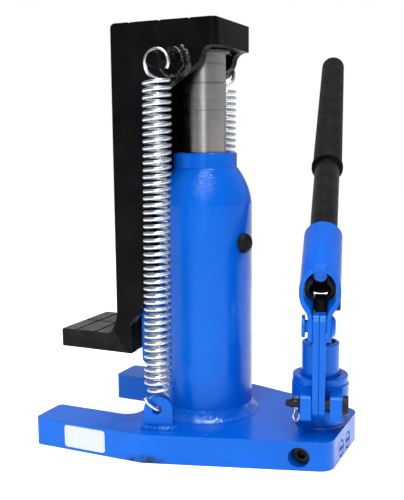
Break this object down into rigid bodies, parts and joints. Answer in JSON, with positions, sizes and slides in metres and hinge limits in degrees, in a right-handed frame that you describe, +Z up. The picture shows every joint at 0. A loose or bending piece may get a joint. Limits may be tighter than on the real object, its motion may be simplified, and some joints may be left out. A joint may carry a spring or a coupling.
{
  "type": "hydraulic toe jack",
  "caption": "Hydraulic toe jack with forked base, reservoir, sliding toe-and-head frame on two return springs, and a swivelling hand pump with handle.",
  "frame": {"origin": "on the underside of the base, on the axis of the lifting ram", "axes": "+Z up along the ram's stroke, -X towards the toe and the fork, +X towards the pump, Y across the base"},
  "size_m": [0.2636, 0.452, 0.3591],
  "materials": {
    "blue_paint": "gloss",
    "black_paint": "satin",
    "toe_paint": "satin, worn on top",
    "polished_steel": "polished",
    "machined_steel": "machined",
    "zinc_wire": "zinc plated",
    "black_oxide": "black oxide",
    "bar_paint": "gloss",
    "grip_rubber": "matt",
    "plug_rubber": "matt",
    "seal_rubber": "smooth",
    "sticker": "printed film, left blank"
  },
  "bodies": {
    "base": {"base_plate": "blue_paint", "spring_lugs": "blue_paint", "ram_cylinder": "blue_paint", "reservoir": "blue_paint", "gland_nut": "machined_steel", "rod_wiper": "seal_rubber", "rod_seal": "seal_rubber", "cylinder_gasket": "seal_rubber", "oil_strainer": "machined_steel", "guide_rail": "blue_paint", "fork_sticker": "sticker", "spring_near": "zinc_wire", "spring_far": "zinc_wire", "pump_body": "blue_paint", "pump_gland": "machined_steel", "plunger_seal": "seal_rubber", "pump_gasket": "seal_rubber", "suction_ball": "machined_steel", "delivery_ball": "machined_steel", "delivery_spring": "zinc_wire", "delivery_plug": "machined_steel", "safety_ball": "machined_steel", "safety_spring": "zinc_wire", "safety_plug": "blue_paint", "gallery_plug": "blue_paint", "release_ball": "machined_steel", "release_seal": "seal_rubber"},
    "lift": {"ram": "polished_steel", "piston_seal": "seal_rubber", "lift_frame": "black_paint", "toe_claw": "toe_paint", "spring_pins": "black_paint"},
    "swivel": {"swivel_collar": "blue_paint", "retaining_ring": "blue_paint", "link_pin_lower": "black_oxide", "split_pin": "zinc_wire"},
    "pump_plunger": {"plunger": "polished_steel"},
    "socket": {"handle_socket": "blue_paint", "plunger_pin": "black_oxide", "plunger_pin_clip": "black_oxide", "link_pin_upper": "blue_paint"},
    "link": {"link_plate_left": "blue_paint", "link_plate_right": "blue_paint"},
    "handle": {"handle_bar": "bar_paint", "handle_grip": "grip_rubber"},
    "release": {"release_screw": "black_oxide"},
    "filler": {"filler_plug": "plug_rubber"}
  },
  "joints": [
    {"name": "ram_lift", "type": "slide", "parent": "base", "child": "lift", "axis": [0, 0, 1], "range_m": [-0.071, 0.069], "deforming": ["spring_near", "spring_far"]},
    {"name": "pump_swivel", "type": "hinge", "parent": "base", "child": "swivel", "pos_m": [0.104, 0, 0.05], "axis": [0, 0, 1], "range_deg": [-235, 25]},
    {"name": "plunger_stroke", "type": "slide", "parent": "swivel", "child": "pump_plunger", "axis": [0, 0, 1], "range_m": [-0.021, 0]},
    {"name": "handle_stroke", "type": "hinge", "parent": "pump_plunger", "child": "socket", "pos_m": [0.104, 0, 0.125], "axis": [0.9681, 0.2504, 0], "range_deg": [-37, 0]},
    {"name": "link_pivot", "type": "hinge", "parent": "socket", "child": "link", "pos_m": [0.11176, -0.03001, 0.1137], "axis": [0.9681, 0.2504, 0], "range_deg": [0, 37]},
    {"name": "handle_lift_out", "type": "slide", "parent": "socket", "child": "handle", "axis": [-0.2233, 0.8634, 0.4524], "range_m": [0, 0.08]},
    {"name": "release_turn", "type": "hinge", "parent": "base", "child": "release", "pos_m": [0.1015, -0.03, 0.011], "axis": [0, -1, 0], "range_deg": [0, 270]},
    {"name": "filler_pull", "type": "slide", "parent": "base", "child": "filler", "axis": [0.9659, -0.2588, 0], "range_m": [0, 0.02]}
  ],
  "couplings": [
    {"joint": "plunger_stroke", "follows": "handle_stroke", "m_per_rad": 0.03244},
    {"joint": "link_pivot", "follows": "handle_stroke", "ratio": -1}
  ]
}
